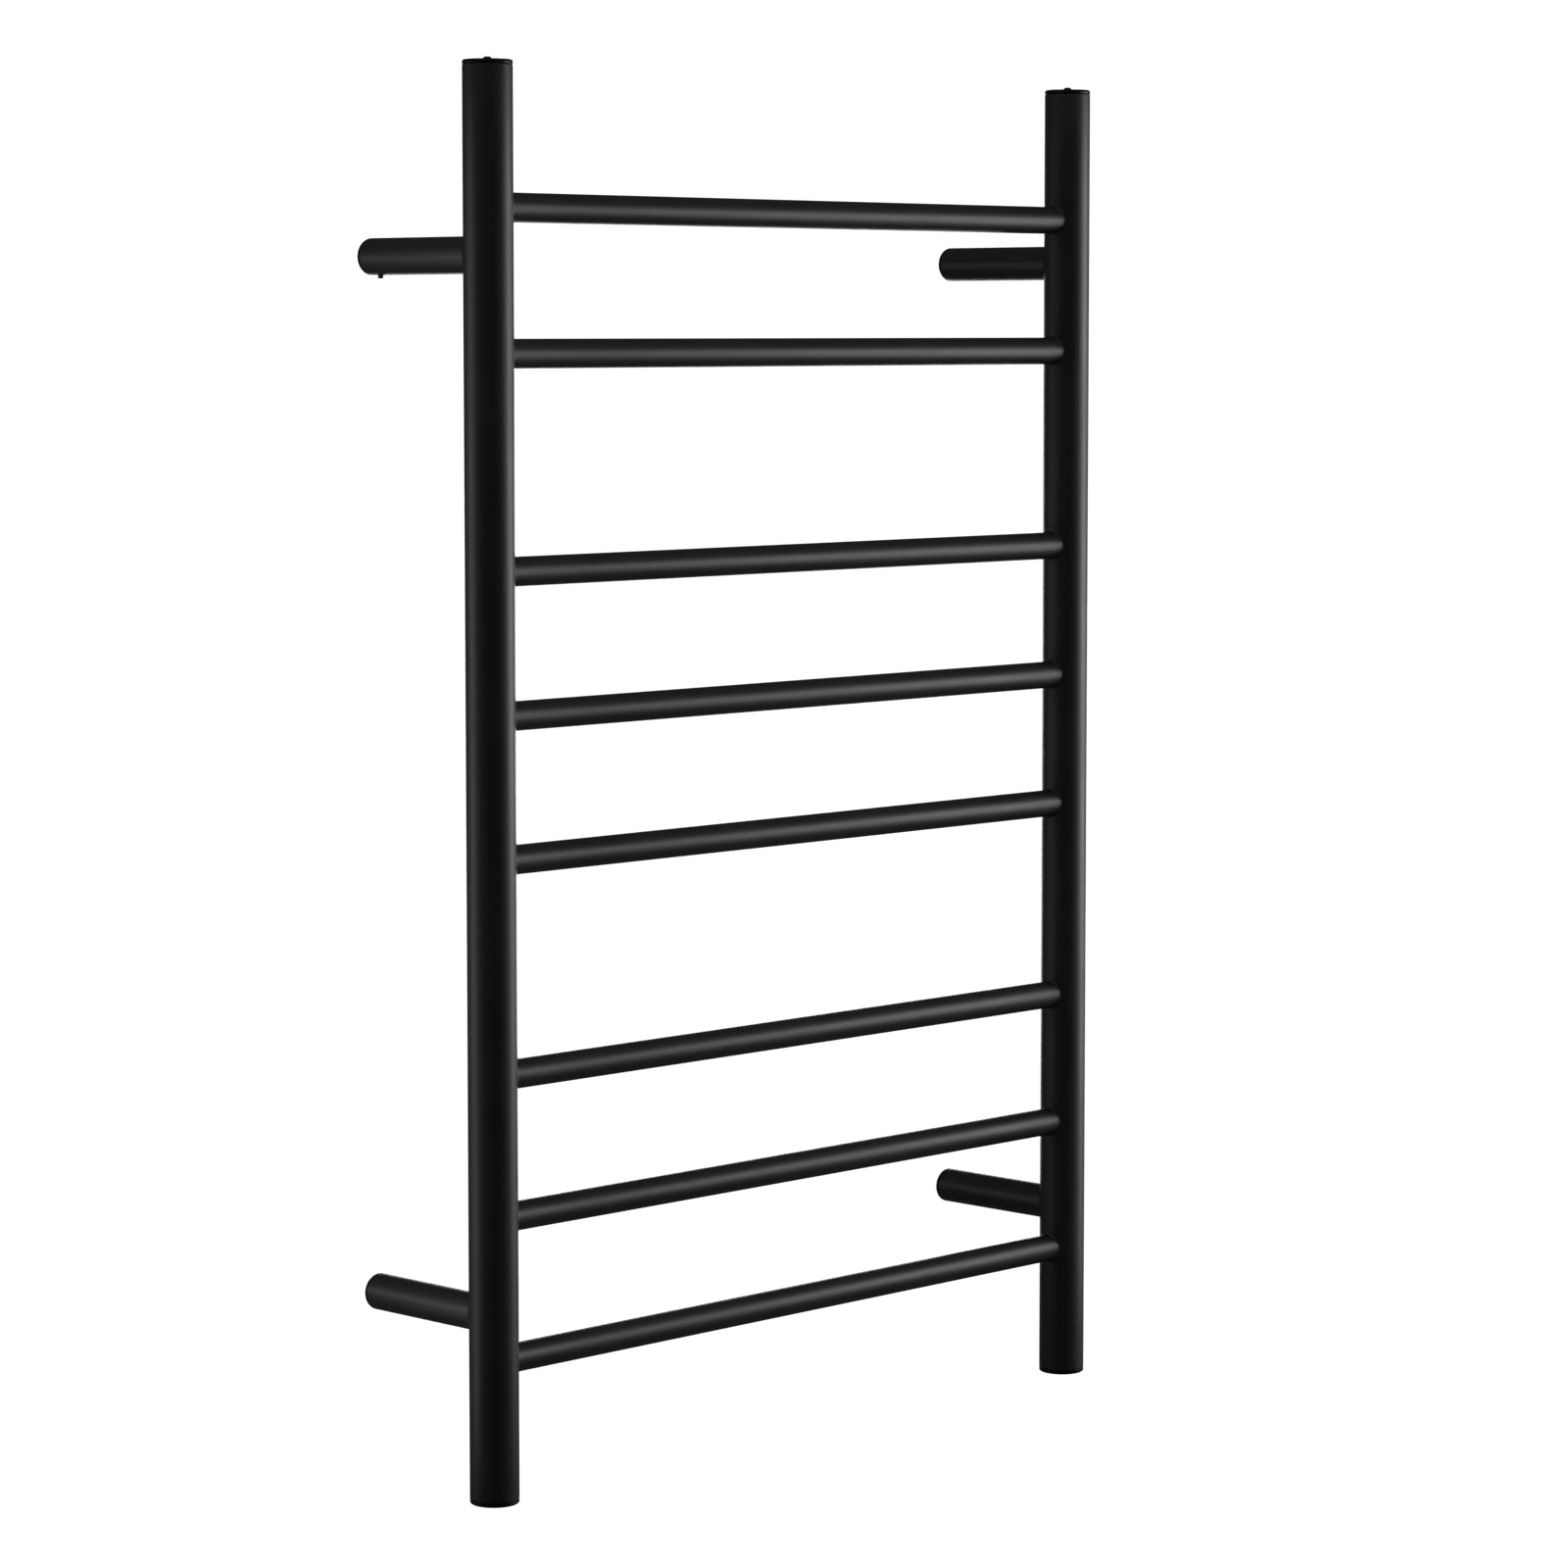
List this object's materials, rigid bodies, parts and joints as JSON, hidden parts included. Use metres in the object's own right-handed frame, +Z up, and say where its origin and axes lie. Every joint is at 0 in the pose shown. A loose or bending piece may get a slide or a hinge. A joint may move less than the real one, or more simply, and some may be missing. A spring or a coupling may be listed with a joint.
{
  "type": "towel warmer rack",
  "caption": "Wall-hung ladder towel warmer of round tube: uprights with domed cap screws, rungs in spaced groups, tubular standoffs, and a heating cable inside.",
  "frame": {"origin": "on the wall plane, in the middle of the rectangle of the standoff feet", "axes": "+X along the bars, to the right as seen from the room; +Y into the wall; +Z up"},
  "size_m": [0.584, 0.13, 0.9246],
  "materials": {
    "black_powder_coat": "matte black powder coat, fine texture",
    "black_fitting": "smooth satin black lacquer",
    "black_screw_steel": "blackened steel, satin",
    "zinc_steel": "zinc plated",
    "brass": "turned",
    "black_rubber": "matte",
    "red_silicone": "matte silicone",
    "white_nylon": "matte",
    "green_lead": "smooth",
    "brown_lead": "smooth",
    "blue_lead": "smooth"
  },
  "bodies": {
    "root": {"post_left": "black_powder_coat", "post_right": "black_powder_coat", "bar_1": "black_powder_coat", "bar_2": "black_powder_coat", "bar_3": "black_powder_coat", "bar_4": "black_powder_coat", "bar_5": "black_powder_coat", "bar_6": "black_powder_coat", "bar_7": "black_powder_coat", "bar_8": "black_powder_coat", "standoff_upper_left": "black_powder_coat", "wall_plug_upper_left": "black_fitting", "grub_screw_upper_left": "black_screw_steel", "end_cap_upper_left": "black_fitting", "cap_screw_upper_left": "black_screw_steel", "cap_bridge_upper_left": "zinc_steel", "standoff_upper_right": "black_powder_coat", "wall_plug_upper_right": "black_fitting", "grub_screw_upper_right": "black_screw_steel", "end_cap_upper_right": "black_fitting", "cap_screw_upper_right": "black_screw_steel", "cap_bridge_upper_right": "zinc_steel", "standoff_lower_left": "black_powder_coat", "wall_plug_lower_left": "black_fitting", "grub_screw_lower_left": "black_screw_steel", "end_cap_lower_left": "black_fitting", "cap_screw_lower_left": "black_screw_steel", "cap_bridge_lower_left": "zinc_steel", "standoff_lower_right": "black_powder_coat", "wall_plug_lower_right": "black_fitting", "grub_screw_lower_right": "black_screw_steel", "end_cap_lower_right": "black_fitting", "cap_screw_lower_right": "black_screw_steel", "cap_bridge_lower_right": "zinc_steel", "cable_grommet": "black_rubber", "heating_cable": "red_silicone", "cable_end_seal": "red_silicone", "cable_joint": "red_silicone", "thermal_limiter": "white_nylon", "terminal_block": "white_nylon", "terminal_screw_live": "brass", "terminal_screw_neutral": "brass", "terminal_screw_earth": "brass", "earth_lug": "zinc_steel", "earth_screw": "zinc_steel", "earth_lead": "green_lead", "live_lead": "brown_lead", "limiter_lead": "brown_lead", "neutral_lead": "blue_lead"}
  },
  "joints": []
}
